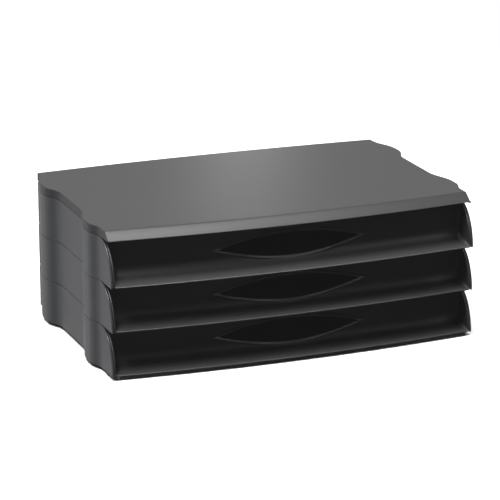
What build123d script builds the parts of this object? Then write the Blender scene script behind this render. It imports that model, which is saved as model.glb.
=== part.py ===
"""Desk stack of three letter drawers under a lid.

The frame is +X to the right, +Y to the back and +Z up, in millimetres.
The origin is at the middle of the stack's footprint, on the surface it stands on.
"""
import os
from math import asin, cos, degrees, radians, sin

from build123d import *

os.makedirs("parts", exist_ok=True)

# Overall sizes
tier_names = ["bottom", "middle", "top"]
tier_pitch = 43.7          # height of one casing tier
base_height = 3.5          # base plate with its feet
lid_height = 8.6           # skirt and top of the lid
overall_depth = 258.0      # middle of a drawer lip to the middle of the back
bow_rise = 10.0            # how far the front stands forward in the middle
rear_rise = 6.0            # how far the back stands out in the middle
wall = 2.0                 # side panels
back_y = overall_depth / 2
rear_corner_y = back_y - rear_rise
corner_y = bow_rise - overall_depth / 2
top_of_tiers = base_height + len(tier_names) * tier_pitch

# Side panels seen from above: (distance behind the front corner, half width)
front_half = 188.0
bulge_half = 193.4
waist_half = 185.1
rear_half = 183.6
wave = [
    (0.0, front_half),
    (30.0, front_half),
    (54.0, bulge_half),
    (60.0, bulge_half),
    (100.0, waist_half),
    (160.0, waist_half),
    (192.0, bulge_half),
    (196.0, bulge_half),
    (240.0, rear_half),
    (rear_corner_y - corner_y, rear_half),
]

# The front edge of a side panel is a quarter of an ellipse
edge_depth = 34.5

# Stacking posts inside the bulges, and the pins that join the tiers
post_x = 187.2
post_ys = [corner_y + 57.0, corner_y + 194.0]
post_radius = 5.2
pin_radius = 2.4
pin_play = 0.1
pin_hole_depth = 8.0
pin_length = 15.6
lid_hole_depth = 5.0
spigot_length = 6.0

# Ledges, shelf and back of each tier
ledge_reach = 176.0
ledge_height = 1.6
shelf_half = 180.4
shelf_thickness = 1.8
shelf_front_y = corner_y + 32.0
back_thickness = 2.2
back_inset = 0.4
back_half = rear_half - wall
back_front_y = rear_corner_y - back_inset - back_thickness
runner_width = 4.0
runner_height = 1.6
runner_x = 120.0
stop_half = 20.0
stop_height = 1.5
stop_thickness = 3.0

# Drawers, measured above the bottom of their own tier
drawer_travel = 150.0
slide_gap = 0.3
tray_floor_z = ledge_height + shelf_thickness + runner_height + slide_gap
tray_half = 180.0
tray_wall = 1.8
tray_top_z = 38.3
tray_back_y = back_front_y - 0.6
hook_y = rear_corner_y - 16.0

# Scooped drawer front, drawn as (distance behind the lip, height)
front_thickness = 2.2
front_bottom_z = 0.3
front_top_z = 41.3
lip_thickness = 1.4
lip_nose = 0.6
scoop_corner = (26.4, 6.4)
scoop_top_depth = 28.3
scoop_radius = 12.3
front_half_inside = front_half - wall - slide_gap
cheek_thickness = 1.6
cheek_back_y = corner_y + 29.5

# Finger hole: an eye shape with a raised bead round it
eye_half = 74.0
eye_z = 21.0
eye_rise = 11.0
bead_width = 3.6
bead_height = 0.8

# Lid, with the curve of its sloping front edge outside and inside, drawn as
# (distance behind the lips, height above the skirt's lower edge)
lid_thickness = 2.4
lid_nose = [(7.3, 0.0), (12.7, 5.3), (19.5, lid_height)]
lid_hollow_nose = [(11.5, 0.0), (14.1, 3.3), (20.3, lid_height - lid_thickness)]

# Base and feet
base_half = 181.0
base_bow = 6.5             # how far its front edge stands forward in the middle
base_underside = 0.6
base_plate = 2.0
base_rim = 2.4
lug_radius = 7.5
lug_x = 184.0
foot_radius = 8.0
foot_x = 166.0
foot_ys = [corner_y + 26.0, corner_y + 214.0]

# The bowed front is an arc about a vertical axis far behind the stack
bow_radius = (front_half**2 + bow_rise**2) / (2 * bow_rise)
bow_y = corner_y - bow_rise + bow_radius
bow_axis = Axis((0, bow_y, 0), (0, 0, 1))
bow_angle = degrees(asin(bulge_half / (bow_radius - overall_depth))) + 0.5

# The back is a flatter arc the other way
rear_radius = (rear_half**2 + rear_rise**2) / (2 * rear_rise)


def bow_plane(z=0):
    """Upright plane through the bow's axis, at the left end of the front."""
    turn = radians(bow_angle)
    outward = Vector(-sin(turn), -cos(turn), 0)
    return Plane(origin=(0, bow_y, z), x_dir=outward, z_dir=outward.cross(Vector(0, 0, 1)))


def at_depth(depth, height):
    """Point of a front profile: depth behind the lip turned into distance from the axis."""
    return (bow_radius - depth, height)


def wave_line(side, inset):
    """Serpentine line of one side, front to back; side is -1 left or 1 right."""
    for (depth_a, half_a), (depth_b, half_b) in zip(wave, wave[1:]):
        start = Vector(side * (half_a - inset), corner_y + depth_a)
        end = Vector(side * (half_b - inset), corner_y + depth_b)
        if half_a == half_b:
            Line(start, end)
        else:
            middle = (start + end) / 2
            first = TangentArc(start, middle, tangent=(0, 1))
            TangentArc(middle, end, tangent=first % 1)


def trim_at_rear(depth):
    """Cut a plan sketch off along the bowed line a depth in front of the lid's rear edge."""
    with Locations((0, back_y - rear_radius)):
        Circle(rear_radius - depth, mode=Mode.INTERSECT)


def side_panel(side, floor_z):
    """Serpentine side wall with its two stacking posts and the ledge for the shelf."""
    with BuildPart() as panel:
        with BuildSketch(Plane.XY.offset(floor_z)):
            with BuildLine():
                wave_line(side, 0)
                wave_line(side, wall)
                Line((side * front_half, corner_y), (side * (front_half - wall), corner_y))
                Line((side * rear_half, rear_corner_y), (side * (rear_half - wall), rear_corner_y))
            make_face()
        extrude(amount=tier_pitch)
        with BuildSketch(Plane.YZ):
            with BuildLine():
                EllipticalCenterArc(
                    (corner_y + edge_depth, floor_z),
                    edge_depth,
                    tier_pitch,
                    start_angle=90,
                    arc_size=90,
                )
                Polyline(
                    (corner_y, floor_z),
                    (back_y, floor_z),
                    (back_y, floor_z + tier_pitch),
                    (corner_y + edge_depth, floor_z + tier_pitch),
                )
            make_face()
        extrude(amount=bulge_half + wall, both=True, mode=Mode.INTERSECT)
        with BuildSketch(Plane.XY.offset(floor_z)):
            with Locations(*[(side * post_x, y) for y in post_ys]):
                Circle(post_radius)
        extrude(amount=tier_pitch)
        with BuildSketch(Plane.XY.offset(floor_z)):
            with BuildLine():
                Polyline(
                    (side * ledge_reach, shelf_front_y),
                    (side * (waist_half - wall / 2), shelf_front_y + 50),
                    (side * (rear_half - wall / 2), back_front_y),
                    (side * ledge_reach, back_front_y),
                    close=True,
                )
            make_face()
        extrude(amount=ledge_height)
        with BuildSketch(Plane.XY.offset(floor_z)):
            with Locations(*[(side * post_x, y) for y in post_ys]):
                Circle(pin_radius + pin_play)
        extrude(amount=pin_hole_depth, mode=Mode.SUBTRACT)
        with BuildSketch(Plane.XY.offset(floor_z + tier_pitch)):
            with Locations(*[(side * post_x, y) for y in post_ys]):
                Circle(pin_radius + pin_play)
        extrude(amount=-pin_hole_depth, mode=Mode.SUBTRACT)
    return panel.part


def shelf(floor_z):
    """Fixed floor of one tier, with two runners and the stop that keeps the drawer in."""
    top = floor_z + ledge_height + shelf_thickness
    middle_y = (shelf_front_y + back_front_y) / 2
    reach = back_y - shelf_front_y
    stop_y = hook_y - drawer_travel - slide_gap - stop_thickness / 2
    with BuildPart() as plate:
        with BuildSketch(Plane.XY.offset(floor_z + ledge_height)):
            with Locations((0, shelf_front_y + reach / 2)):
                Rectangle(2 * shelf_half, reach)
            trim_at_rear(back_inset + back_thickness)
        extrude(amount=shelf_thickness)
        with BuildSketch(Plane.XY.offset(top)):
            with Locations((-runner_x, middle_y), (runner_x, middle_y)):
                Rectangle(runner_width, back_front_y - shelf_front_y - 8)
        extrude(amount=runner_height)
        with BuildSketch(Plane.XY.offset(top)):
            with Locations((0, stop_y)):
                Rectangle(2 * stop_half, stop_thickness)
        extrude(amount=stop_height)
    return plate.part


def back_panel(floor_z):
    """Plain rear wall of one tier, bowed outwards and held between the side panels."""
    with BuildPart() as panel:
        with BuildSketch(Plane.XY.offset(floor_z)):
            with Locations((0, back_y)):
                Rectangle(2 * back_half, 40)
            trim_at_rear(back_inset)
            with Locations((0, back_y - rear_radius)):
                Circle(rear_radius - back_inset - back_thickness, mode=Mode.SUBTRACT)
        extrude(amount=tier_pitch)
    return panel.part


def scoop_line(floor_z):
    """Visible line of the drawer front: lip, hollow and wall, from the lip to the top."""
    FilletPolyline(
        at_depth(lip_nose, floor_z + front_bottom_z + lip_thickness),
        at_depth(scoop_corner[0], floor_z + scoop_corner[1]),
        at_depth(scoop_top_depth, floor_z + front_top_z),
        radius=scoop_radius,
    )


def eye_outline(floor_z, grow):
    """Two arcs that meet at the ends of the finger hole, grown outwards by a width."""
    centre = floor_z + eye_z
    reach = eye_half + 2.2 * grow
    ThreePointArc((-reach, centre), (0, centre + eye_rise + grow), (reach, centre))
    ThreePointArc((reach, centre), (0, centre - eye_rise - grow), (-reach, centre))


def drawer_front(floor_z):
    """Bowed, scooped front with end cheeks and an eye-shaped finger hole."""
    with BuildPart() as bead:
        with BuildSketch(bow_plane()):
            with BuildLine():
                scoop_line(floor_z)
                offset(amount=bead_height, side=Side.RIGHT)
            make_face()
        revolve(axis=bow_axis, revolution_arc=2 * bow_angle)
        with BuildSketch(Plane.XZ.offset(-back_y)):
            with BuildLine():
                eye_outline(floor_z, bead_width)
            make_face()
        extrude(amount=overall_depth + 10, mode=Mode.INTERSECT)
    with BuildPart() as front:
        with BuildSketch(bow_plane()):
            with BuildLine():
                scoop_line(floor_z)
                offset(amount=front_thickness, side=Side.LEFT)
            make_face()
        revolve(axis=bow_axis, revolution_arc=2 * bow_angle)
        with BuildSketch(bow_plane()):
            with BuildLine():
                Polyline(
                    at_depth(lip_nose + 3, floor_z + front_bottom_z),
                    at_depth(lip_nose, floor_z + front_bottom_z),
                    at_depth(0, floor_z + front_bottom_z + lip_nose),
                    at_depth(0, floor_z + front_bottom_z + lip_thickness - lip_nose),
                    at_depth(lip_nose, floor_z + front_bottom_z + lip_thickness),
                    at_depth(lip_nose + 3, floor_z + front_bottom_z + lip_thickness + 0.3),
                    close=True,
                )
            make_face()
        revolve(axis=bow_axis, revolution_arc=2 * bow_angle)
        add(bead.part)
        with BuildSketch(Plane.XZ.offset(-back_y)):
            with BuildLine():
                eye_outline(floor_z, 0)
            make_face()
        extrude(amount=overall_depth + 10, mode=Mode.SUBTRACT)
        with BuildSketch(Plane.XY.offset(floor_z + front_bottom_z)):
            Rectangle(2 * front_half_inside, overall_depth + 20)
        extrude(amount=tier_pitch, mode=Mode.INTERSECT)
        for side in (-1, 1):
            with BuildSketch(Plane.YZ.offset(side * front_half_inside)):
                with BuildLine():
                    EllipticalCenterArc(
                        (corner_y + edge_depth, floor_z),
                        edge_depth,
                        tier_pitch,
                        start_angle=90,
                        arc_size=90,
                    )
                    Polyline(
                        (corner_y, floor_z),
                        (corner_y + edge_depth, floor_z),
                        (corner_y + edge_depth, floor_z + tier_pitch),
                    )
                make_face()
                with Locations((cheek_back_y - 20, floor_z + (front_bottom_z + front_top_z) / 2)):
                    Rectangle(40, front_top_z - front_bottom_z, mode=Mode.INTERSECT)
            extrude(amount=-side * cheek_thickness)
    return front.part


def drawer_tray(floor_z):
    """Open tray behind the drawer front, with the hook that meets the stop."""
    length = tray_back_y - corner_y
    with BuildPart() as front_space:
        with BuildSketch(bow_plane()):
            with BuildLine():
                scoop_line(floor_z)
                Polyline(
                    at_depth(scoop_top_depth, floor_z + front_top_z),
                    at_depth(-bow_rise, floor_z + front_top_z),
                    at_depth(-bow_rise, floor_z + front_bottom_z + lip_thickness),
                    at_depth(lip_nose, floor_z + front_bottom_z + lip_thickness),
                )
            make_face()
            with BuildLine():
                scoop_line(floor_z)
                offset(amount=front_thickness, side=Side.LEFT)
            make_face()
        revolve(axis=bow_axis, revolution_arc=2 * bow_angle)
    with BuildPart() as tray:
        with BuildSketch(Plane.XY.offset(floor_z + tray_floor_z)):
            with Locations((0, corner_y + length / 2)):
                Rectangle(2 * tray_half, length)
        extrude(amount=tray_top_z - tray_floor_z)
        with BuildSketch(Plane.XY.offset(floor_z + tray_floor_z + tray_wall)):
            with Locations((0, corner_y + (length - tray_wall) / 2)):
                Rectangle(2 * (tray_half - tray_wall), length - tray_wall)
        extrude(amount=tray_top_z, mode=Mode.SUBTRACT)
        with BuildSketch(Plane.XY.offset(floor_z + tray_floor_z)):
            with Locations((0, hook_y + stop_thickness / 2)):
                Rectangle(2 * stop_half, stop_thickness)
        extrude(amount=-stop_height)
        add(front_space.part, mode=Mode.SUBTRACT)
    return tray.part


def lid_form(inset, nose):
    """Block under the lid's surface, drawn in on every side and on top by a wall's width."""
    height = lid_height - inset
    far_x = bow_radius - overall_depth - bow_rise
    with BuildPart() as form:
        with BuildSketch(Plane.XY.offset(top_of_tiers)):
            with BuildLine():
                for side in (-1, 1):
                    wave_line(side, inset)
                    Line(
                        (side * (front_half - inset), corner_y),
                        (side * (front_half - inset), corner_y - bow_rise),
                    )
                Line(
                    (-(front_half - inset), corner_y - bow_rise),
                    (front_half - inset, corner_y - bow_rise),
                )
                Polyline(
                    (-(rear_half - inset), rear_corner_y),
                    (-(rear_half - inset), back_y),
                    (rear_half - inset, back_y),
                    (rear_half - inset, rear_corner_y),
                )
            make_face()
            trim_at_rear(inset)
        extrude(amount=height)
        toe, middle, heel = [at_depth(depth, top_of_tiers + rise) for depth, rise in nose]
        with BuildSketch(bow_plane()):
            with BuildLine():
                ThreePointArc(toe, middle, heel)
                Polyline(heel, (far_x, top_of_tiers + height), (far_x, top_of_tiers), toe)
            make_face()
        revolve(axis=bow_axis, revolution_arc=2 * bow_angle, mode=Mode.INTERSECT)
    return form.part


def lid():
    """Flat cover with a serpentine skirt, a sloping front edge and sockets for the pins."""
    with BuildPart() as cover:
        add(lid_form(0, lid_nose))
        add(lid_form(lid_thickness, lid_hollow_nose), mode=Mode.SUBTRACT)
        with BuildSketch(Plane.XY.offset(top_of_tiers)):
            with Locations(*[(side * post_x, y) for side in (-1, 1) for y in post_ys]):
                Circle(post_radius)
        extrude(amount=lid_height - lid_thickness)
        with BuildSketch(Plane.XY.offset(top_of_tiers)):
            with Locations(*[(side * post_x, y) for side in (-1, 1) for y in post_ys]):
                Circle(pin_radius + pin_play)
        extrude(amount=lid_hole_depth, mode=Mode.SUBTRACT)
    return cover.part


def base():
    """Thin plate with a rim under the bottom tier, lugs under the bulges and spigots."""
    with BuildPart() as plate:
        for inset, amount, mode in (
            (0, base_height - base_underside, Mode.ADD),
            (base_rim, base_height - base_plate - base_underside, Mode.SUBTRACT),
        ):
            half = base_half - inset
            front = corner_y + inset
            rear = back_front_y - inset
            with BuildSketch(Plane.XY.offset(base_underside)):
                with BuildLine():
                    ThreePointArc((-half, front), (0, front - base_bow), (half, front))
                    Polyline((half, front), (half, rear), (-half, rear), (-half, front))
                make_face()
            extrude(amount=amount, mode=mode)
        with BuildSketch(Plane.XY.offset(base_underside)):
            with Locations(*[(side * lug_x, y) for side in (-1, 1) for y in post_ys]):
                Circle(lug_radius)
        extrude(amount=base_height - base_underside)
        with BuildSketch(Plane.XY.offset(base_height)):
            with Locations(*[(side * post_x, y) for side in (-1, 1) for y in post_ys]):
                Circle(pin_radius)
        extrude(amount=spigot_length)
    return plate.part


def foot(x, y):
    """Round rubber pad under the base plate."""
    with BuildPart() as pad:
        with BuildSketch(Plane.XY):
            with Locations((x, y)):
                Circle(foot_radius)
        extrude(amount=base_height - base_plate)
    return pad.part


def pins(seam_z):
    """Four loose pins that stand in the posts below a seam and enter what is above it."""
    with BuildPart() as group:
        with BuildSketch(Plane.XY.offset(seam_z - pin_hole_depth)):
            with Locations(*[(side * post_x, y) for side in (-1, 1) for y in post_ys]):
                Circle(pin_radius)
        extrude(amount=pin_length if seam_z < top_of_tiers else pin_hole_depth + lid_hole_depth - 1)
    return group.part


def write(part, name):
    """Label one piece and write it to its own file."""
    part.label = name
    export_step(part, f"parts/{name}.step")


write(base(), "base_plate")
for side, side_name in ((-1, "left"), (1, "right")):
    for y, end_name in zip(foot_ys, ("front", "rear")):
        write(foot(side * foot_x, y), f"foot_{end_name}_{side_name}")

for index, name in enumerate(tier_names):
    floor_z = base_height + index * tier_pitch
    write(side_panel(-1, floor_z), f"left_side_{name}")
    write(side_panel(1, floor_z), f"right_side_{name}")
    write(shelf(floor_z), f"shelf_{name}")
    write(back_panel(floor_z), f"back_panel_{name}")
    write(drawer_tray(floor_z), f"drawer_tray_{name}")
    write(drawer_front(floor_z), f"drawer_front_{name}")
    write(pins(floor_z + tier_pitch), f"stacking_pins_{name}")

write(lid(), "lid")
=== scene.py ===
# %% [markdown]
# # A stack of three letter drawers under a lid
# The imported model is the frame: it says where every piece is and which body it moves with.
# Its solids could be seen as they are, but their edges are sharp and their meshes are loose
# triangles. So all but the base plate and the pins are drawn afresh in the place of their
# solids, in metres and by the same few formulas, and nothing is moved away from its place.

# %% Load the frame
from math import radians

import bmesh
import bpy
import numpy as np
from mathutils import Euler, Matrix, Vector


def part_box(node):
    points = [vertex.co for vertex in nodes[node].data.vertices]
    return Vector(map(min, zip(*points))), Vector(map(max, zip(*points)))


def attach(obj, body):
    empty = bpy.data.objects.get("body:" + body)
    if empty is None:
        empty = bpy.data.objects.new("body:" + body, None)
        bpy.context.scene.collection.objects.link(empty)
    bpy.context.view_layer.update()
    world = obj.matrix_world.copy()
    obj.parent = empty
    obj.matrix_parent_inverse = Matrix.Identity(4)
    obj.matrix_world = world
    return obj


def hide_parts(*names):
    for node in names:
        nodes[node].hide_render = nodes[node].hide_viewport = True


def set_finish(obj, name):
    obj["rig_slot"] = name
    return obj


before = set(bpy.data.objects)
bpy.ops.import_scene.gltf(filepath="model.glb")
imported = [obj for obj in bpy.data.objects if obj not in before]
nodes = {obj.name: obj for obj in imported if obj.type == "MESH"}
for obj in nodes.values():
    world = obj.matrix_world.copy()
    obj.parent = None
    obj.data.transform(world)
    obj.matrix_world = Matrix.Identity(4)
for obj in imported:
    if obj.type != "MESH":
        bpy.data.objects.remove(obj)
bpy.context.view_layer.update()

# %% [markdown]
# ## Sizes
# A scene that repeats the model's numbers can drift from it, so heights and depths are read
# from the frame's boxes. Only the shape of the serpentine side and of the scooped front, which
# a box can't tell, is written again here as the model has it.

# %% Read the sizes from the frame
mm = 0.001
tiers = ["bottom", "middle", "top"]
tier_floors = [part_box(f"left_side_{tier}")[0].z for tier in tiers]
tier_height = tier_floors[1] - tier_floors[0]
lid_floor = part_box("lid")[0].z
lid_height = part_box("lid")[1].z - lid_floor
rear_corner_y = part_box("left_side_top")[1].y
corner_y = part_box("left_side_top")[0].y
side_depth = rear_corner_y - corner_y
print(f"tier {tier_height / mm:.1f} mm high, lid {lid_height / mm:.1f} mm high")
print(f"sides {side_depth / mm:.1f} mm deep")

# %% Shape of the serpentine side, seen from above
# Half widths at the front corner, the two bulges, the waist between them and the rear corner.
# The stations are depths behind the front corner where one of these widths starts or ends.
front_half = 188.0 * mm
bulge_half = 193.4 * mm
waist_half = 185.1 * mm
rear_half = 183.6 * mm
wave_stations = np.array([0, 30, 54, 60, 100, 160, 192, 196, 240, side_depth / mm]) * mm
wave_halves = np.array(
    [front_half, front_half, bulge_half, bulge_half, waist_half]
    + [waist_half, bulge_half, bulge_half, rear_half, rear_half]
)
print("half widths along the side, mm:", (wave_halves / mm).round(1).tolist())


# %% Shape of the bowed front and back
def arc_radius(half, rise):
    """Radius of an arc from half its width and its rise: their squares' sum over twice the rise."""
    return (half**2 + rise**2) / (2 * rise)


bow_rise = 10.0 * mm
bow_radius = arc_radius(front_half, bow_rise)
bow_y = corner_y - bow_rise + bow_radius
rear_rise = 6.0 * mm
rear_radius = arc_radius(rear_half, rear_rise)


def bow_at(x, depth):
    """The bowed line: a circle about a far upright axis, drawn in by the depth behind the lips."""
    return bow_y - np.sqrt((bow_radius - depth) ** 2 - x**2)


def rear_bow(x, inset=0.0):
    """How far the back stands out: a circle through both rear corners, highest in the middle. With
    an inset the circle is that much smaller."""
    return rear_rise - rear_radius + np.sqrt((rear_radius - inset) ** 2 - x**2)


print(f"bow radius {bow_radius:.3f} m in front, {rear_radius:.3f} m at the back")

# %% [markdown]
# ## The serpentine line
# Seen from above, the sides of the stack weave in and out in smooth bends. A Bezier curve could
# be drawn by hand, but the panels and the lid must follow the very same line, so it is a function
# of the depth. Between two widths it is made of two equal arcs, as a draughtsman would draw it.

# %% The serpentine line as a function
def half_width(depth):
    """Half width at each depth: between two stations of unlike width, two equal arcs that meet in
    the middle, so the line leaves and arrives straight back."""
    depth = np.asarray(depth, float)
    width = np.full(depth.shape, front_half)
    spans = zip(wave_stations, wave_stations[1:], wave_halves, wave_halves[1:])
    for start, end, from_half, to_half in spans:
        here = (depth >= start) & (depth <= end)
        run = (end - start) / 2
        rise = (to_half - from_half) / 2
        if rise == 0:
            width[here] = from_half
            continue
        radius = arc_radius(run, abs(rise))
        near = np.minimum(depth[here] - start, end - depth[here])
        bend = np.sign(rise) * (radius - np.sqrt(radius**2 - near**2))
        width[here] = np.where(depth[here] - start <= run, from_half + bend, to_half - bend)
    width[depth > wave_stations[-1]] = wave_halves[-1]
    return width


def side_slope(depth):
    """How fast the half width grows with the depth, from the widths just before and behind it."""
    step = 0.05 * mm
    return (half_width(depth + step) - half_width(depth - step)) / (2 * step)


def side_line(depth, inset):
    """Points (x, y) of the right-hand side: the serpentine line moved inwards along its normal."""
    slope = side_slope(depth)
    length = np.sqrt(1 + slope**2)
    return half_width(depth) - inset / length, corner_y + depth + inset * slope / length


print(f"half width 55 mm behind the corner: {half_width([55 * mm])[0] / mm:.1f} mm")

# %% [markdown]
# ## Helpers for moulded shells
# Every piece here is a thin wall of moulded plastic. A wall can be a sheet with a Solidify and a
# Bevel modifier, but then the corners are left to the modifiers. So one helper takes two matching
# sheets of points, the seen face and the hidden one, and closes them with a rounded rim.

# %% Faces, unit vectors and edges of a grid
micrometre = 1e-6


def quads_of(rows, columns, start):
    """Corner numbers of the quads of a grid whose points are numbered row by row from start."""
    corner = start + np.arange(rows - 1)[:, None] * columns + np.arange(columns - 1)
    return np.stack([corner, corner + 1, corner + columns + 1, corner + columns], -1).reshape(-1, 4)


def unit(vectors):
    """Vectors made one long; those of no length stay as they are."""
    length = np.linalg.norm(vectors, axis=-1, keepdims=True)
    return vectors / np.where(length < 1e-12, 1, length)


def weld(points, faces):
    """Points that round to the same micrometre become one; faces are renumbered."""
    rounded = np.round(points / micrometre)
    _, first, same = np.unique(rounded, axis=0, return_index=True, return_inverse=True)
    return first, same.reshape(-1)[faces]


def free_edges(quads):
    """Edges that only one quad uses, each in that quad's own direction."""
    edges = np.stack([quads, np.roll(quads, -1, axis=1)], -1).reshape(-1, 2)
    edges = edges[edges[:, 0] != edges[:, 1]]
    ordered = np.sort(edges, axis=1)
    _, where, count = np.unique(ordered, axis=0, return_index=True, return_counts=True)
    return edges[where[count == 1]]


def outward_from(seen, across, quads, free):
    """For each point a unit vector away from the middles of the faces that touch it, made square
    to the free edge through it and to the way across the wall."""
    run = np.zeros_like(seen)
    np.add.at(run, free[:, 0], seen[free[:, 1]] - seen[free[:, 0]])
    np.add.at(run, free[:, 1], seen[free[:, 1]] - seen[free[:, 0]])
    middles = np.zeros_like(seen)
    np.add.at(middles, quads.reshape(-1), np.repeat(seen[quads].mean(axis=1), 4, axis=0))
    touching = np.bincount(quads.reshape(-1), minlength=len(seen))[:, None]
    outwards = seen - middles / np.maximum(touching, 1)
    for direction in (unit(run), across):
        outwards = outwards - (outwards * direction).sum(-1, keepdims=True) * direction
    return unit(outwards)


print("free edges of a grid of 3 by 4 points:", len(free_edges(quads_of(3, 4, 0))))


# %% Closing two sheets with a rounded rim
def close_shell(sheets, rim_radius, rim_steps=4):
    """Points and faces of a closed wall. sheets holds pairs (seen, hidden) of grids of equal shape.
    Along every free edge the rim leaves the seen face in a quarter circle, crosses the wall and
    meets the hidden face in another."""
    seen = np.concatenate([np.asarray(s, float).reshape(-1, 3) for s, _ in sheets])
    hidden = np.concatenate([np.asarray(h, float).reshape(-1, 3) for _, h in sheets])
    counts = np.cumsum([0] + [s.shape[0] * s.shape[1] for s, _ in sheets])
    quads = [quads_of(*s.shape[:2], start) for (s, _), start in zip(sheets, counts)]
    first, quads = weld(seen, np.concatenate(quads))
    seen, hidden = seen[first], hidden[first]

    free = free_edges(quads)
    across = unit(hidden - seen)
    outwards = outward_from(seen, across, quads, free)
    on_rim = np.unique(free)
    place = np.full(len(seen), -1)
    place[on_rim] = np.arange(len(on_rim))
    turn = np.linspace(0, np.pi / 2, rim_steps + 1)[1:, None, None]
    reach = rim_radius * np.sin(turn) * outwards[on_rim]
    sink = rim_radius * (1 - np.cos(turn)) * across[on_rim]
    rings = np.concatenate([seen[on_rim] + reach + sink, (hidden[on_rim] + reach - sink)[::-1]])

    levels, members = rings.shape[:2]
    starts = 2 * len(seen) + np.arange(levels)[:, None, None] * members
    lines = [free, *(starts + place[free]), len(seen) + free]
    ring_faces = [np.column_stack([near[:, ::-1], far]) for near, far in zip(lines, lines[1:])]
    points = np.concatenate([seen, hidden, rings.reshape(-1, 3)])
    faces = np.concatenate([quads, len(seen) + quads[:, ::-1], *ring_faces])
    return points, faces


# %% The simplest shell, a plate with rounded edges
plate_rim = 0.3 * mm


def slab(x_range, y_range, z_range):
    """Points and faces of a flat plate between two corners: a grid of 3 by 3 points on its top and
    on its underside, closed with a rounded rim."""
    x = np.linspace(x_range[0] + plate_rim, x_range[1] - plate_rim, 3)
    y = np.linspace(y_range[0] + plate_rim, y_range[1] - plate_rim, 3)
    x, y = np.meshgrid(x, y)
    faces = [np.stack([x, y, np.full(x.shape, z)], -1) for z in (z_range[1], z_range[0])]
    return close_shell([tuple(faces)], plate_rim)


print("faces of a rounded plate:", len(slab((0, mm), (0, mm), (0, mm))[1]))

# %% From points to a piece
crisp_angle = 50


def make_piece(node, parts, body, slot):
    """A mesh object from (points, faces) pairs, named for the node that it stands for. Doubles are
    merged and the outside is worked out for each closed part. Edges that turn by more than the
    crisp angle, in degrees, stay crisp."""
    name = f"{node}_moulded"
    starts = np.cumsum([0] + [len(points) for points, _ in parts])
    points = np.concatenate([points for points, _ in parts])
    faces = np.concatenate([faces + start for (_, faces), start in zip(parts, starts)])
    mesh = bpy.data.meshes.new(name)
    mesh.from_pydata(points.tolist(), [], faces.tolist())
    work = bmesh.new()
    work.from_mesh(mesh)
    bmesh.ops.remove_doubles(work, verts=work.verts, dist=2 * micrometre)
    bmesh.ops.dissolve_degenerate(work, edges=work.edges, dist=micrometre)
    bmesh.ops.recalc_face_normals(work, faces=work.faces)
    work.to_mesh(mesh)
    work.free()
    mesh.shade_smooth()
    mesh.set_sharp_from_angle(angle=radians(crisp_angle))
    piece = bpy.data.objects.new(name, mesh)
    bpy.context.scene.collection.objects.link(piece)
    soften = piece.modifiers.new("even_normals", "WEIGHTED_NORMAL")
    soften.keep_sharp = True
    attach(piece, body)
    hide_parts(node)
    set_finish(piece, slot)
    print(f"{name}: {len(mesh.polygons)} faces")
    return piece


# %% [markdown]
# ## Side panels
# Each tier has a left and a right wall that weaves in and out, and ends at the front in a
# quarter of an ellipse. It could be cut from a flat plane and bent by a Curve modifier, but a
# sheet over (depth, height) is shorter, and the serpentine line gives each depth its place. The
# rim is rounded, so that two stacked walls show a fine shadow line.

# %% Side panel sheets
wall = 2.0 * mm
panel_rim = 0.98 * mm
edge_depth = 34.5 * mm


def between(first, last, count):
    """Rows of points from one line of points to another, evenly spaced."""
    share = np.linspace(0, 1, count)[:, None, None]
    return (1 - share) * first + share * last


def panel_outline(rim):
    """Bottom and top line of a panel as (depth, height): straight below, a quarter ellipse and a
    straight run above. The ellipse is walked by its angle, so its steep start has enough points."""
    edge_points = 22
    angle = np.radians(np.linspace(5, 90, edge_points))[:, None]
    ellipse = np.hstack([edge_depth * (1 - np.cos(angle)), tier_height * np.sin(angle)])
    steep = np.hstack([-np.cos(angle) / edge_depth, np.sin(angle) / tier_height])
    ellipse = ellipse - rim * unit(steep)
    straight = np.linspace(edge_depth, side_depth - rim, 136)[1:]
    level = np.column_stack([straight, np.full(straight.shape, tier_height - rim)])
    low_depths = np.concatenate([np.linspace(rim, edge_depth, edge_points), straight])
    bottom = np.column_stack([low_depths, np.full(low_depths.shape, rim)])
    return bottom, np.vstack([ellipse, level])


def panel_sheet(side, floor, inset):
    """Points of one face of a panel: (depth, height) carried along the serpentine line."""
    bottom, top = panel_outline(panel_rim)
    flat = between(bottom, top, 9)
    x, y = side_line(flat[..., 0], inset)
    return np.stack([side * x, y, floor + flat[..., 1]], -1)


print("points along a panel:", len(panel_outline(panel_rim)[0]))

# %% [markdown]
# ## Posts and ledges
# Inside each panel stand two posts with a blind hole in each end, where pins join the tiers, and
# a ledge carries the shelf. Cylinders and cubes with Boolean holes would do, but a profile turned
# round an axis has its holes from the start, and the rounded plate is there already.

# %% Stacking posts and ledges inside the panels
post_x = 187.2 * mm
post_depths = [57.0 * mm, 194.0 * mm]
post_radius = 5.2 * mm
pin_hole_radius = 2.5 * mm
pin_hole_depth = 8.0 * mm
ledge_inside = 176.0 * mm
ledge_outside = 183.5 * mm
ledge_front = corner_y + 32.0 * mm
ledge_rear = rear_corner_y - 3.0 * mm
ledge_thickness = 1.6 * mm


def lathe(profile, x, y, steps=32):
    """Points and faces of a turned shape: the profile (radius, height) carried round an axis."""
    turn = np.linspace(0, 2 * np.pi, steps + 1)
    radius, height = np.array(profile, float).T[:, :, None]
    grid = np.stack([x + radius * np.cos(turn), y + radius * np.sin(turn), height + 0 * turn], -1)
    return grid.reshape(-1, 3), quads_of(len(profile), steps + 1, 0)


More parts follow.
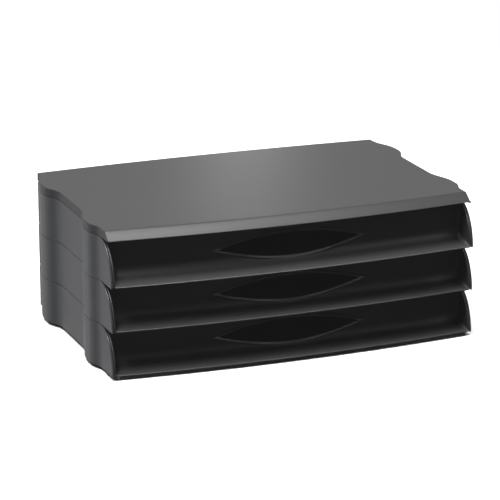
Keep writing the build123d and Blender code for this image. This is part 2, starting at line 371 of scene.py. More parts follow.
def post(side, depth, floor, height, hole_depth=pin_hole_depth):
    """A round post: its profile runs from the bottom of one hole, round the outside, to the bottom
    of the other."""
    top = floor + height
    profile = [(0, floor + hole_depth), (pin_hole_radius, floor + hole_depth)]
    profile += [(pin_hole_radius, floor), (post_radius, floor)]
    profile += [(post_radius, top), (pin_hole_radius, top)]
    profile += [(pin_hole_radius, top - hole_depth), (0, top - hole_depth)]
    return lathe(profile, side * post_x, corner_y + depth)


def ledge(side, floor):
    """The strip on the panel that carries the shelf."""
    x_range = sorted([side * ledge_inside, side * ledge_outside])
    return slab(x_range, (ledge_front, ledge_rear), (floor, floor + ledge_thickness))


panels = []
for side, side_name in ((-1, "left"), (1, "right")):
    for tier, floor in zip(tiers, tier_floors):
        faces = tuple(panel_sheet(side, floor, inset) for inset in (0, wall))
        posts = [post(side, depth, floor, tier_height) for depth in post_depths]
        parts = [close_shell([faces], panel_rim), ledge(side, floor), *posts]
        panels.append(make_piece(f"{side_name}_side_{tier}", parts, "casing", "casing_plastic"))

# %% [markdown]
# ## Lid
# The lid is a flat cover. Its front edge slopes down in a slight curve, its sides repeat
# the serpentine line, and a skirt hangs from its sides and back. It could be a bevelled cut-out,
# but the slope and the skirt need their own shapes. So a sheet over (across, depth) makes the top
# and the slope, and a second sheet follows its edge down. The same formulas drawn in by the
# wall's width make the inside.

# %% Rows of the lid from front to back
# lid_nose holds three points (depth, height) of the slope, for the outside and for the inside.
lid_wall = 2.4 * mm
lid_round = 0.9 * mm
lid_rim = 1.0 * mm
lid_nose = {
    0: np.array([(7.3, 0), (13.2, 4.65), (19.5, lid_height / mm)]) * mm,
    lid_wall: np.array([(11.5, 0), (14.1, 3.3), (20.3, (lid_height - lid_wall) / mm)]) * mm,
}


def arc_through(first, middle, last, count):
    """Points of the circle through three points, and its unit normals towards the centre. The
    centre is where the two upright bisectors meet."""
    sides = np.array([middle - first, last - middle])
    halves = np.array([(middle + first) / 2, (last + middle) / 2])
    centre = np.linalg.solve(sides, (sides * halves).sum(axis=1))
    start, end = [np.arctan2(*(point - centre)[::-1]) for point in (first, last)]
    angle = np.linspace(start, end, count)
    towards = -np.column_stack([np.cos(angle), np.sin(angle)])
    return centre - np.linalg.norm(first - centre) * towards, towards


def lid_rows(inset):
    """Depth, height and inward normal of the lid's rows, from the foot of the slope to the back."""
    slope, normal = arc_through(*lid_nose[inset], 13)
    height = lid_height - inset
    far = np.linspace(slope[-1, 0], side_depth - inset - lid_round, 128)[1:]
    depth = np.concatenate([slope[:, 0], far])
    rise = np.concatenate([slope[:, 1], np.full(far.shape, height)])
    normal = np.vstack([normal, np.tile([0, -1], (len(far), 1))])
    return depth, np.maximum(rise, lid_rim), normal


print("rows of the lid:", len(lid_rows(0)[0]))

# %% Sheets of the lid
lid_columns = 81


def top_sheet(inset):
    """The top with its sloping edge. Across the lid the line is a bow, and from front to back the
    bow of the front fades into the bow of the back."""
    depth, rise, _ = lid_rows(inset)
    across = np.linspace(-1, 1, lid_columns)
    side_x, side_y = side_line(depth, inset + lid_round)
    arc = bow_rise - bow_radius + np.sqrt(bow_radius**2 - (across * front_half) ** 2)
    nose_end = lid_nose[0][-1, 0]
    fade = 1 - np.clip((depth - nose_end) / (depth[-1] - nose_end), 0, 1)[:, None]
    x = across * side_x[:, None]
    y = side_y[:, None] - fade * arc + (1 - fade) * rear_bow(across * rear_half)
    return np.stack([x, y, lid_floor + np.broadcast_to(rise[:, None], x.shape)], -1)


def skirt_sheet(inset, top):
    """The skirt follows the edge of the top along the left, the back and the right. It leaves it in
    a quarter circle and drops to the rim. At a rear corner it goes sideways and back at once."""
    depth, _, normal = lid_rows(inset)
    leg = len(depth)
    back = lid_columns - 2
    line = np.vstack([top[:, 0], top[-1, 1:-1], top[::-1, -1]])
    inward = np.vstack([normal, np.tile([0, -1], (back, 1)), normal[::-1]])
    inward = np.column_stack([np.zeros(len(inward)), inward])
    out = unit(np.column_stack([-np.ones(leg), -side_slope(depth), np.zeros(leg)]))
    out[-1] = (-1, 1, 0)
    rear = np.column_stack([top[-1, 1:-1, 0] / rear_radius, np.ones(back), np.zeros(back)])
    out = np.vstack([out, unit(rear), out[::-1] * [-1, 1, 1]])
    turn = np.radians(np.linspace(0, 90, 6))[:, None, None]
    rounding = line + lid_round * (np.sin(turn) * out + (1 - np.cos(turn)) * inward)
    foot = rounding[-1].copy()
    foot[:, 2] = lid_floor + lid_rim
    return np.concatenate([rounding, between(rounding[-1], foot, 4)[1:]])


# %% Build the lid
lid_hole_depth = 5.0 * mm
tops = [top_sheet(inset) for inset in (0, lid_wall)]
skirts = [skirt_sheet(inset, top) for inset, top in zip((0, lid_wall), tops)]
lid_shell = close_shell([tuple(tops), tuple(skirts)], lid_rim, 3)
lid_posts = [
    post(side, depth, lid_floor, lid_height - lid_wall, lid_hole_depth)
    for side in (-1, 1)
    for depth in post_depths
]
lid = make_piece("lid", [lid_shell, *lid_posts], "casing", "lid_plastic")

# %% [markdown]
# ## Drawer fronts
# A drawer front is a bowed trough: a thin lip, a hollow that turns up into a wall, and a cheek at
# each end with a rounded corner. It could be modelled from a subdivided box, but then the bow
# would have to be pulled into it by hand. Here one profile (depth, height) is carried along the
# same bow that the lid has.

# %% Profile of the trough
# The places are (depth behind the bow, height above the tier's floor).
front_wall = 2.2 * mm
front_rim = 0.6 * mm
lip = np.array([0.6, 1.7]) * mm
hollow = np.array([26.4, 6.4]) * mm
wall_top = np.array([28.3, 41.3]) * mm - [0, front_rim]
hollow_radius = 12.3 * mm


def trough_profile():
    """Points (depth, height) and unit normals of the trough: two straight runs joined by an arc
    that touches both. The normal points to the side that is seen."""
    first, second = unit(lip - hollow), unit(wall_top - hollow)
    half = np.arccos(first @ second) / 2
    reach = hollow_radius / np.tan(half)
    start, end = hollow + reach * first, hollow + reach * second
    centre = hollow + unit(first + second) * hollow_radius / np.sin(half)
    angles = np.linspace(*[np.arctan2(*(point - centre)[::-1]) for point in (start, end)], 15)
    arc = centre + hollow_radius * np.column_stack([np.cos(angles), np.sin(angles)])
    low = between(lip[None], start[None], 10)[:-1, 0]
    high = between(end[None], wall_top[None], 5)[1:, 0]
    points = np.vstack([low, arc, high])
    run = np.gradient(points, axis=0)
    return points, unit(np.column_stack([-run[:, 1], run[:, 0]]))


profile, profile_normal = trough_profile()
steps_along = np.linalg.norm(np.diff(profile, axis=0), axis=1)
length_along = np.concatenate([[0], np.cumsum(steps_along)])
print(f"profile: {len(profile)} rows, {length_along[-1] / mm:.1f} mm long")

# %% [markdown]
# ## Finger holes
# The drawer is pulled at an eye-shaped hole with a raised edge in its wall. A Boolean would cut
# it, but it leaves long thin faces that shade badly. Instead the rows of the sheet part at the
# height of the eye: the lower ones end on its lower arc, the upper ones start on its upper arc,
# and beyond its two tips they meet again.

# %% Shape of a finger hole
# An eye's tips are sharp, so a band of even width round it reaches further there than elsewhere.
eye_half = 74.0 * mm
eye_height = 21.0 * mm
eye_rise = 11.0 * mm
tip_stretch = 2.2
bead_width = 3.6 * mm
bead_height = 0.8 * mm
bead_slope = 0.45
bead_reach = eye_half + tip_stretch * bead_width
hole_half = eye_half + tip_stretch * front_rim
hole_rise = eye_rise + front_rim


def eye_arc(x, half, rise):
    """Height of the eye above its middle: a circle through both tips, and nothing past them."""
    radius = arc_radius(half, rise)
    return np.where(np.abs(x) < half, rise - radius + np.sqrt(np.maximum(radius**2 - x**2, 0)), 0)


def smooth_step(share):
    """A share from 0 to 1 that starts and stops gently: three squares less two cubes."""
    return share * share * (3 - 2 * share)


def bead(x, height):
    """How far the edge of the finger hole is raised: a flat band round the eye whose outer part,
    the bead slope, falls in a smooth step."""
    inner = eye_arc(x, hole_half, hole_rise)
    outer = eye_arc(x, bead_reach, eye_rise + bead_width)
    share = (np.abs(height - eye_height) - inner) / np.maximum(outer - inner, 1e-9)
    fall = np.clip((1 - share) / bead_slope, 0, 1)
    return np.where(outer > 0, bead_height * smooth_step(fall), 0)


print(f"finger hole {2 * eye_half / mm:.0f} by {2 * eye_rise / mm:.0f} mm")

# %% [markdown]
# ## Corners and cheeks
# At each end the wall turns forwards in a rounded corner into a cheek, which lies close to the
# side panel and is cut to the same ellipse. A Bevel modifier rounds a corner evenly, but this one
# is nearly sharp at the lip and rounder further back, so its radius follows the depth.

# %% The rounded corner and the cheek at each end
front_bottom = 0.3 * mm
cheek_wall = 1.6 * mm
corner_radius = 4.5 * mm
lip_corner = 0.7 * mm
corner_grows = 14.0 * mm
front_end = 185.7 * mm
cheek_inside = front_end - cheek_wall
flat_end = cheek_inside - corner_radius


def trough_point(x, along, lift):
    """Points (x, y, height) of the trough at a length along its profile, lifted along the normal."""
    pick = [np.interp(along, length_along, column) for column in (*profile.T, *profile_normal.T)]
    depth, height = pick[0] + lift * pick[2], pick[1] + lift * pick[3]
    return np.stack(np.broadcast_arrays(x, bow_at(x, depth), height), -1)


def cheek_edge(height):
    """Place along Y of the cheek's front edge: the panel's ellipse drawn in by the rim."""
    share = np.clip(height / (tier_height - front_rim), 0, 1)
    return corner_y + edge_depth - (edge_depth - front_rim) * np.sqrt(1 - share**2)


def end_sheets(side, along):
    """The rounded corner and the cheek at one end. The corner turns the trough's sheet forwards
    in a quarter of an ellipse that is flat near the lip and grows round further back; the cheek
    goes on from there to the elliptical edge."""
    turn = np.radians(np.linspace(0, 90, 9))
    rows = along[:, None]
    behind_lip = np.interp(rows, length_along, profile[:, 0]) - lip[0]
    grown = smooth_step(np.clip(behind_lip / corner_grows, 0, 1))
    rise = lip_corner + (corner_radius - lip_corner) * grown
    corner = []
    for sideways, down in ((0, 0), (cheek_wall, front_wall)):
        lift = rise - (rise + down) * np.cos(turn)
        points = trough_point(flat_end + (corner_radius + sideways) * np.sin(turn), rows, lift)
        points[..., 2] = np.maximum(points[..., 2], front_bottom if down else lip[1])
        drawn_in = np.maximum(points[..., 1], cheek_edge(points[..., 2]))
        points[..., 1] += (drawn_in - points[..., 1]) * np.sin(turn) ** 2
        corner.append(points)
    seen_end = corner[0][:, -1]
    share = along / along[-1]
    edge_height = seen_end[0, 2] + (seen_end[-1, 2] - seen_end[0, 2]) * share
    inside = np.full(share.shape, cheek_inside)
    edge = np.column_stack([inside, cheek_edge(edge_height), edge_height])
    cheek = between(seen_end, edge, 6).transpose(1, 0, 2)
    outer = cheek.copy()
    outer[..., 0] = front_end
    corner[1][:, -1] = outer[:, 0]
    pairs = [(corner[0], corner[1]), (cheek, outer)]
    return [(seen * [side, 1, 1], hidden * [side, 1, 1]) for seen, hidden in pairs]


print(f"flat part of a front: {2 * flat_end / mm:.1f} mm wide")

# %% [markdown]
# ## The whole front
# A front is laid out of sheets that touch: one below the eye, one above it, and a corner and a
# cheek at each end. They could stay separate objects, but welded into one shell they get a single
# rounded rim, and the shading runs on over their seams.

# %% Sheets of a drawer front
least_band = 2.0 * mm


def front_rows(x):
    """Lengths along the profile of the rows below and above the eye, for each x. The rows crowd in
    the raised band, and where the band is gone they keep a band of the least height."""
    open_half = eye_arc(x, hole_half, hole_rise)
    band_half = np.maximum(eye_arc(x, bead_reach, eye_rise + bead_width), least_band)
    heights = eye_height + np.array([-band_half, -open_half, open_half, band_half])
    band_low, hole_low, hole_high, band_high = np.interp(heights, profile[:, 1], length_along)
    top = np.full(x.shape, length_along[-1])
    lower = [np.linspace(0 * x, band_low, 24), np.linspace(band_low, hole_low, 9)[1:]]
    upper = [np.linspace(hole_high, band_high, 9), np.linspace(band_high, top, 9)[1:]]
    return np.vstack(lower), np.vstack(upper)


def front_sheets(floor):
    """Pairs (seen, hidden) for the flat part below and above the eye, and for both ends."""
    x = np.linspace(-flat_end, flat_end, 181)
    lower, upper = front_rows(x)
    sheets = []
    for along in (lower, upper):
        height = np.interp(along, length_along, profile[:, 1])
        seen = trough_point(x, along, bead(x, height))
        hidden = trough_point(x, along, -front_wall)
        hidden[..., 2] = np.maximum(hidden[..., 2], front_bottom)
        sheets.append((seen, hidden))
    end_along = np.concatenate([lower[:, -1], upper[1:, -1]])
    for side in (-1, 1):
        sheets += end_sheets(side, end_along)
    lift = np.array([0, 0, floor])
    return [(seen + lift, hidden + lift) for seen, hidden in sheets]


drawer_fronts = []
for tier, floor in zip(tiers, tier_floors):
    parts = [close_shell(front_sheets(floor), front_rim)]
    node = f"drawer_front_{tier}"
    drawer_fronts.append(make_piece(node, parts, f"drawer_{tier}", "drawer_front_plastic"))

# %% [markdown]
# ## Drawer trays
# Behind its front each drawer is an open tray that holds the paper. A box with a bevelled floor
# could be hollowed out, but its front has to follow the bow. So rings round a U-shaped path go
# down the inside of its walls and round into the floor, and straight rows fill the last ring.

# %% Tray sheets
# The tray starts the tray gap behind the bowed line, and its underside just clears the runners.
tray_wall = 1.8 * mm
tray_half = 180.0 * mm
tray_rim = 0.7 * mm
tray_corner = 7.0 * mm
tray_fillet = 4.0 * mm
tray_gap = 30.8 * mm
tray_underside = 5.3 * mm
leg_points = 12


def tray_path(inset, back, front):
    """A U seen from above: left leg, rounded corner, back, rounded corner, right leg."""
    half = tray_half - inset
    radius = tray_corner - inset
    end = back - inset
    leg_y = np.linspace(0, 1, leg_points) * (end - radius - front) + front
    leg = np.column_stack([np.full(leg_points, -half), leg_y])
    turn = np.radians(np.linspace(180, 90, 8))[1:]
    arc = radius * np.column_stack([np.cos(turn), np.sin(turn)]) + [radius - half, end - radius]
    row = between(arc[-1:], arc[-1:] * [-1, 1], 31)[1:-1, 0]
    left = np.vstack([leg, arc])
    return np.vstack([left, row, left[::-1] * [-1, 1]])


def wall_rings(gap, floor, top, back, front):
    """One face of the walls: rings from the rim straight down, then in a quarter circle into the
    floor. The gap is 0 for the outside and the wall's thickness for the inside."""
    fillet = tray_fillet if gap else tray_fillet + tray_wall
    ground = floor + gap
    turn = np.radians(np.linspace(0, 90, 6))[1:]
    insets = np.concatenate([np.full(5, gap), gap + fillet * (1 - np.cos(turn))])
    straight = np.linspace(top - tray_rim, ground + fillet, 5)
    heights = np.concatenate([straight, ground + fillet * (1 - np.sin(turn))])
    paths = np.array([tray_path(inset, back, front) for inset in insets])
    levels = np.broadcast_to(heights[:, None, None], (*paths.shape[:2], 1))
    return np.concatenate([paths, levels], -1)


def floor_rows(rings):
    """The floor inside the last ring: straight rows from leg to leg, and the ring's back."""
    last = rings[-1]
    middle = last[leg_points - 1 : len(last) - leg_points + 1]
    legs = last[: leg_points - 1], last[::-1][: leg_points - 1]
    return np.concatenate([between(*legs, len(middle)).transpose(1, 0, 2), middle[None]])


def tray_sheets(tier, floor):
    """Pairs (seen, hidden) of the walls with their rounded foot, and of the floor. The open front
    is brought forwards onto the bow, by a shift that fades to nothing at the back."""
    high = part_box(f"drawer_tray_{tier}")[1]
    front = bow_at(tray_half, tray_gap)
    walls = [wall_rings(gap, floor, high.z, high.y, front) for gap in (tray_wall, 0)]
    floors = [floor_rows(rings) for rings in walls]
    for sheet in (*walls, *floors):
        near = 1 - (sheet[..., 1] - front) / (high.y - front)
        sheet[..., 1] += near * (bow_at(sheet[..., 0], tray_gap) - front)
    return [tuple(walls), tuple(floors)]


print("points round a tray:", len(tray_path(0, rear_corner_y, corner_y)))

# %% Build the trays, each with a hook under its back
# When the drawer is pulled right out, the front of the hook is the stop gap away from the stop.
hook_half = 20.0 * mm
hook_front = rear_corner_y - 16.0 * mm
rib_thickness = 3.0 * mm
rib_height = 1.5 * mm
hook_root = 0.5 * mm
trays = []
for tier, tier_floor in zip(tiers, tier_floors):
    floor = tier_floor + tray_underside
    hook_y = (hook_front, hook_front + rib_thickness)
    hook = slab((-hook_half, hook_half), hook_y, (floor - rib_height, floor + hook_root))
    parts = [close_shell(tray_sheets(tier, floor), tray_rim), hook]
    trays.append(
        make_piece(f"drawer_tray_{tier}", parts, f"drawer_{tier}", "drawer_tray_plastic")
    )

# %% [markdown]
# ## Back panels
# Each tier is closed by a bowed panel held between its sides. One tall panel would be simpler,
# but it would hide where one tier stops, so there are three, with rims rounded like the sides'.

# %% Back panels
back_half = rear_half - wall
back_inset = 0.4 * mm
back_thickness = 2.2 * mm


def back_sheets(floor):
    """Outer and inner face of a back panel over (across, height), both on the bow of the back."""
    x = np.linspace(-back_half + panel_rim, back_half - panel_rim, 61)
    x, z = np.meshgrid(x, np.linspace(floor + panel_rim, floor + tier_height - panel_rim, 5))
    insets = (back_inset, back_inset + back_thickness)
    return [tuple(np.stack([x, rear_corner_y + rear_bow(x, inset), z], -1) for inset in insets)]


backs = []
for tier, floor in zip(tiers, tier_floors):
    parts = [close_shell(back_sheets(floor), panel_rim)]
    backs.append(make_piece(f"back_panel_{tier}", parts, "casing", "casing_plastic"))

# %% [markdown]
# ## Shelves
# Under each drawer lies a thin plate with two runners, and a rib that stops the hook of the tray
# when the drawer is pulled out. It could be one mesh cut and extruded, but overlapping plates
# look the same here, because their roots are hidden inside the shelf.

# %% Shelves
shelf_top = 3.4 * mm
runner_x = 120.0 * mm
runner_half = 2.0 * mm
runner_front_gap = 4.0 * mm
runner_rear_y = rear_corner_y - 6.6 * mm
runner_height = 1.6 * mm
root_depth = 1.0 * mm
drawer_travel = 150.0 * mm
stop_gap = 0.3 * mm
stop_y = hook_front - drawer_travel - stop_gap


def shelf_plate(low, high, bottom, top):
    """A plate whose rear edge follows the bow of the back."""
    x = np.linspace(low.x + plate_rim, high.x - plate_rim, 41)
    front = np.stack([x, np.full(x.shape, low.y + plate_rim)], -1)
    rear_y = rear_corner_y + rear_bow(x, back_inset + back_thickness) - plate_rim
    plan = between(front, np.stack([x, rear_y], -1), 9)
    faces = [np.concatenate([plan, np.full((*plan.shape[:2], 1), z)], -1) for z in (top, bottom)]
    return close_shell([tuple(faces)], plate_rim)


shelves = []
for tier, floor in zip(tiers, tier_floors):
    node = f"shelf_{tier}"
    low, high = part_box(node)
    top = floor + shelf_top
    plate = shelf_plate(low, high, floor + ledge_thickness, top)
    runner_y = (low.y + runner_front_gap, runner_rear_y)
    runner_z = (top - root_depth, top + runner_height)
    runners = [
        slab((x - runner_half, x + runner_half), runner_y, runner_z) for x in (-runner_x, runner_x)
    ]
    stop_z = (top - root_depth, top + rib_height)
    stop = slab((-hook_half, hook_half), (stop_y - rib_thickness, stop_y), stop_z)
    shelves.append(make_piece(node, [plate, *runners, stop], "casing", "casing_plastic"))

# %% [markdown]
# ## Feet
# Four short rubber discs carry the stack. A cylinder with a Bevel modifier is the usual way. As a
# turned profile is at hand, the soft lower edge is written into it instead.

# %% Feet
foot_edge = 0.5 * mm
feet = []
for end in ("front", "rear"):
    for side_name in ("left", "right"):
        node = f"foot_{end}_{side_name}"
        low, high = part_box(node)
        radius = (high.x - low.x) / 2
        turn = np.radians(np.linspace(-90, 0, 5))
        bend = foot_edge * np.column_stack([np.cos(turn), np.sin(turn)])
        bend = bend + [radius - foot_edge, low.z + foot_edge]
        outline = np.vstack([(0, low.z), bend, (radius, high.z), (0, high.z)])
        disc = lathe(outline, (low.x + high.x) / 2, (low.y + high.y) / 2, 48)
        feet.append(make_piece(node, [disc], "casing", "foot_rubber"))

# %% [markdown]
# ## Camera
# The camera stands where the photograph's camera stood, found from the edges of the object: in
# front, a little to the left and above, with a long lens. A guess by eye would come near, but a
# seam that is one pixel off shows as soon as render and photograph are laid side by side.

# %% Camera
camera_place = Vector((-979.1, -2475.3, 879.9)) * mm
camera_turn = radians(21.554)
camera_tilt = radians(16.806)
camera_data = bpy.data.cameras.new("camera")
camera_data.sensor_width = 36
camera_data.lens = 200.28
camera_data.clip_end = 50
camera = bpy.data.objects.new("camera", camera_data)
camera.location = camera_place
camera.rotation_euler = Euler((radians(90) - camera_tilt, 0, -camera_turn), "XYZ")
bpy.context.scene.collection.objects.link(camera)
bpy.context.scene.camera = camera
print("camera distance", round(camera_place.length, 2), "m")

# %% [markdown]
# ## Black level
# The darkest places of the photograph aren't black but a very dark grey. A weak lamp could fill
# them, but it would also flatten the shading. The Standard view keeps colours as they are, and
# a curve over all channels lifts black to about 20 of 255 on the screen and hardly anything else.

# %% View transform and black level
black_level = 0.0072
view = bpy.context.scene.view_settings
view.view_transform = "Standard"
view.use_curve_mapping = True
view.curve_mapping.curves[3].points[0].location = (0.0, black_level)
view.curve_mapping.update()
print("black is shown as", black_level, "of white")

# %% [markdown]
# ## Materials
# Nearly all of the stack is moulded polystyrene. What sets parts apart is the finish: the casing
# and the lid are satin, and the drawer fronts mirror the lamps more, with their colour painted
# darker as shade. One flat colour would look like paint, so one function makes them all with a
# grain and a slow cloudiness.

# %% Colour and node helpers
def linear(hex_code):
    """sRGB hex to linear: each channel is divided by 12.92 when small, else raised to 2.4."""
    values = np.array([int(hex_code[i : i + 2], 16) for i in (1, 3, 5)]) / 255
    values = np.where(values <= 0.04045, values / 12.92, ((values + 0.055) / 1.055) ** 2.4)
    return (*values, 1.0)


def add_node(tree, kind, settings=None, **inputs):
    """A node with its settings and its inputs, each a value or another node's output."""
    node = tree.nodes.new(kind)
    for key, value in (settings or {}).items():
        setattr(node, key, value)
    for key, value in inputs.items():
        socket = node.inputs[key.replace("_", " ")]
        if isinstance(value, bpy.types.NodeSocket):
            tree.links.new(value, socket)
        else:
            socket.default_value = value
    return node


print("linear value of a middle grey:", round(linear("#808080")[0], 3))

# %% Moulded plastic
# The grain of a spark-eroded mould is near 0.1 mm. It is drawn eight times coarser, so that it
# shows. The cloudiness follows the flow of the melt, over about a hand's width.
grain_size = 0.8 * mm
grain_height = 0.05 * mm
flow_size = 90.0 * mm
roughness_swing = 0.05
polystyrene_ior = 1.59


def moulded_plastic(name, dark, pale, roughness, level, bump=0.05):
    """A plastic that swings between two colours with the flow and about its roughness with the
    grain. The level is the specular level, and the bump is how strongly the grain stands out."""
    material = bpy.data.materials.new(name)
    material.use_nodes = True
    tree = material.node_tree
    tree.nodes.clear()
    place = add_node(tree, "ShaderNodeTexCoord").outputs["Object"]
    flow = add_node(tree, "ShaderNodeTexNoise", Vector=place, Scale=1 / flow_size, Detail=3.0)
    fine = add_node(tree, "ShaderNodeTexNoise", Vector=place, Scale=1 / grain_size, Detail=2.0)
    # On a Mix node set to colour, input 0 is the factor, 6 and 7 are the colours, output 2 the mix.
    tint = add_node(tree, "ShaderNodeMix", {"data_type": "RGBA"})
    tint.inputs[6].default_value = linear(dark)
    tint.inputs[7].default_value = linear(pale)
    tree.links.new(flow.outputs["Fac"], tint.inputs[0])
    rough = add_node(tree, "ShaderNodeMapRange", Value=fine.outputs["Fac"])
    rough.inputs["To Min"].default_value = roughness - roughness_swing
    rough.inputs["To Max"].default_value = roughness + roughness_swing
    relief = {"Height": fine.outputs["Fac"], "Distance": grain_height, "Strength": bump}
    grainy = add_node(tree, "ShaderNodeBump", **relief)
    shader = add_node(
        tree,
        "ShaderNodeBsdfPrincipled",
        Base_Color=tint.outputs[2],
        Roughness=rough.outputs["Result"],
        Normal=grainy.outputs["Normal"],
        IOR=polystyrene_ior,
    )
    shader.inputs["Specular IOR Level"].default_value = level
    out = add_node(tree, "ShaderNodeOutputMaterial")
    tree.links.new(shader.outputs[0], out.inputs[0])
    return material


# %% [markdown]
# ## Finishes
# The casing is a satin charcoal whose bulges catch a soft sheen. The lid is a more neutral grey
# that mirrors less, so its broad glow stays dull. The drawer fronts' colour is very dark, a painted
# shade that keeps the walls of their hollow nearly black. Their specular level is high, so what
# light they show lies as sheen on the lips. Trays, base and pins are plainer and lie in the shade.
# The rubber of the feet is rough and gives no sheen. Pins and feet share the polystyrene's IOR,
# because they are hardly seen.

# %% One material for each slot of the record
finishes = {
    "casing_plastic": moulded_plastic(
        "satin_polystyrene_casing", "#292a2d", "#2e2f33", roughness=0.42, level=0.45
    ),
    "lid_plastic": moulded_plastic(
        "satin_polystyrene_lid", "#222323", "#272727", roughness=0.43, level=0.26
    ),
    # Painted shade: the drawer fronts' colour is darkened far below the casing's so that their
    # hollow stays nearly black.
    "drawer_front_plastic": moulded_plastic(
        "shade_darkened_polystyrene_drawer", "#0b0c0f", "#0e0f12", roughness=0.52, level=0.95
    ),
    "drawer_tray_plastic": moulded_plastic(
        "black_polystyrene_tray", "#343437", "#3a3a3d", roughness=0.5, level=0.3
    ),
    "base_plastic": moulded_plastic(
        "black_polystyrene_base", "#1d1e20", "#232427", roughness=0.5, level=0.4
    ),
    "pin_plastic": moulded_plastic(
        "black_polyamide_pins", "#3a3a3c", "#444446", roughness=0.5, level=0.4
    ),
    "foot_rubber": moulded_plastic(
        "soft_rubber_feet", "#141414", "#1c1c1c", roughness=0.8, level=0.3
    ),
}
print("finishes:", ", ".join(finishes))

# %% [markdown]
# ## Floor
# The stack stands on white paper. A large square would do for the photograph's view, but its far
# corner would stand behind the stack in others. A round sheet shows the same edge from all sides.
# It isn't mirrored in the plastic, because it would lighten the shaded walls too much.

# %% Floor
floor_radius = 1.3
floor_points = 128
floor_mesh = bpy.data.meshes.new("floor")
rim_turn = np.linspace(0, 2 * np.pi, floor_points + 1)[:-1]
rim_points = floor_radius * np.column_stack([np.cos(rim_turn), np.sin(rim_turn), 0 * rim_turn])
floor_mesh.from_pydata(rim_points.tolist(), [], [list(range(floor_points))])
floor_piece = bpy.data.objects.new("floor", floor_mesh)
bpy.context.scene.collection.objects.link(floor_piece)
floor_piece.visible_glossy = False
paper = bpy.data.materials.new("white_paper_floor")
paper.use_nodes = True
paper_shader = paper.node_tree.nodes["Principled BSDF"]
paper_shader.inputs["Base Color"].default_value = linear("#f4f4f4")
paper_shader.inputs["Roughness"].default_value = 0.9
floor_mesh.materials.append(paper)
print("floor radius", floor_radius, "m")

# %% [markdown]
# ## Background
# To the camera the background is plain white. As a lamp it is nearly dark in front and bright
# behind, because the photograph's lips and lid are lit from behind and its walls are dark. An
# image of a studio could do this, but two numbers and a smooth step along Y are easier to match.

# %% Background
dim = 0.008
bright = 0.7
glow_starts = 0.1
glow_full = 0.88
sky = bpy.data.worlds.new("studio")
bpy.context.scene.world = sky
sky.use_nodes = True
tree = sky.node_tree
direction = add_node(tree, "ShaderNodeTexCoord").outputs["Generated"]
heading = add_node(tree, "ShaderNodeSeparateXYZ", Vector=direction).outputs["Y"]
smooth = {"interpolation_type": "SMOOTHSTEP"}
limits = {"From_Min": glow_starts, "From_Max": glow_full, "To_Min": dim, "To_Max": bright}
from_front = add_node(tree, "ShaderNodeMapRange", smooth, Value=heading, **limits)
seen = add_node(tree, "ShaderNodeLightPath").outputs["Is Camera Ray"]
larger = {"operation": "MAXIMUM"}
strength = add_node(tree, "ShaderNodeMath", larger, Value=from_front.outputs["Result"])
tree.links.new(seen, strength.inputs[1])
tree.links.new(strength.outputs[0], tree.nodes["Background"].inputs["Strength"])
tree.nodes["Background"].inputs["Color"].default_value = (1, 1, 1, 1)
print("background strength", dim, "in front,", bright, "behind")

# %% [markdown]
# ## Lamps
# The photograph shows no hard shadow, as under large soft boxes. The one above and the one at
# the left do most of the work. The right one and the small edge light only lift the lips
# and the right-hand ends. The rear one whitens the far floor, and the small one behind the stack
# puts the glow on the lid where the photograph has it. Sun lamps would be simpler, but a glossy
# curve shows what a lamp looks like, and a square one gives it a soft streak.

# %% Lamps
def softbox(name, place, aim, size, power, shine=True):
    """A square lamp turned towards a point; without shine it lights but isn't mirrored."""
    data = bpy.data.lights.new(name, "AREA")
    data.size = size
    data.energy = power
    lamp = bpy.data.objects.new(name, data)
    lamp.location = place
    lamp.rotation_euler = (Vector(aim) - Vector(place)).to_track_quat("-Z", "Y").to_euler()
    lamp.visible_glossy = shine
    bpy.context.scene.collection.objects.link(lamp)
    print(f"{name}: {size} m wide, {power} W")


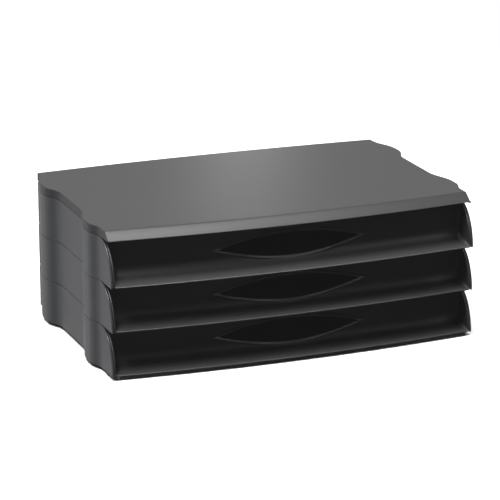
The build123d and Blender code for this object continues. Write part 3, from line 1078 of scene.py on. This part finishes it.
softbox("overhead_softbox", (0.2, -0.15, 2.0), (0.0, -0.12, 0.1), 0.8, 38)
softbox("left_softbox", (-0.75, -0.5, 1.55), (-0.17, -0.12, 0.07), 0.6, 40)
softbox("right_softbox", (0.95, -0.45, 1.3), (0.18, -0.12, 0.07), 0.9, 4)
softbox("edge_light", (0.47, -1.2, 1.08), (-0.03, -0.1, 0.07), 0.3, 0.5)
softbox("rear_softbox", (0.0, 1.9, 1.8), (0.0, 2.0, 0.0), 1.6, 45, shine=False)
softbox("back_glow", (0.312, 0.82, 0.345), (0.044, 0.1, 0.143), 0.1, 0.14)

# %% [markdown]
# ## Finishes on the pieces
# Each new piece takes the finish of the slot it was given. The base plate and the pins keep their
# solids' meshes, so their material slots are filled from here.

# %% Give every piece its finish
for piece in [*panels, lid, *drawer_fronts, *trays, *backs, *shelves, *feet]:
    piece.data.materials.append(finishes[piece["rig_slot"]])

kept_nodes = {"base_plate": "base_plastic"}
for tier in tiers:
    kept_nodes[f"stacking_pins_{tier}"] = "pin_plastic"
for node, slot_name in kept_nodes.items():
    for held in nodes[node].material_slots:
        held.material = finishes[slot_name]
print("solids that are seen as they are:", ", ".join(kept_nodes))

# %% [markdown]
# ## Painted highlight under the finger holes
# A fine light line under each hole is painted here as a highlight. A lamp can't be aimed at so
# thin a line, and a painted texture would need a UV map. As the faces follow the eye, those just
# below its edge simply take a second, lighter and glossier finish: the painted highlight.

# %% A painted highlight just below each finger hole
# Painted highlight: a lighter, glossier copy of the plastic stands in for the light line under each
# hole.
painted_highlight = moulded_plastic(
    "painted_highlight_polystyrene", "#34353a", "#3b3c42", roughness=0.38, level=1.0, bump=0.0
)
highlight_past_tip = 4.0 * mm
highlight_width = 1.2 * mm
highlight_least = 0.5 * mm
highlight_above_middle = 1.0 * mm
wall_depth = 18.0 * mm


def paint_rim_highlight(piece, floor):
    """The painted highlight, a lighter and glossier finish, goes on faces of the wall, not the
    hollow, whose middles lie in the lower half of the eye drawn a little larger than the hole,
    except at its very tips."""
    centres = np.zeros(3 * len(piece.data.polygons))
    piece.data.polygons.foreach_get("center", centres)
    x, y, z = centres.reshape(-1, 3).T
    below = floor + eye_height - z
    rim = eye_arc(x, hole_half + highlight_past_tip, hole_rise + highlight_width)
    lower_half = (rim > highlight_least) & (below > -highlight_above_middle) & (below < rim)
    chosen = lower_half & (y > bow_at(x, wall_depth))
    # These faces take the painted highlight.
    piece.data.materials.append(painted_highlight)
    piece.data.polygons.foreach_set("material_index", chosen.astype(np.int32))
    print(piece.name, "worn faces:", int(chosen.sum()))


for piece, floor in zip(drawer_fronts, tier_floors):
    paint_rim_highlight(piece, floor)
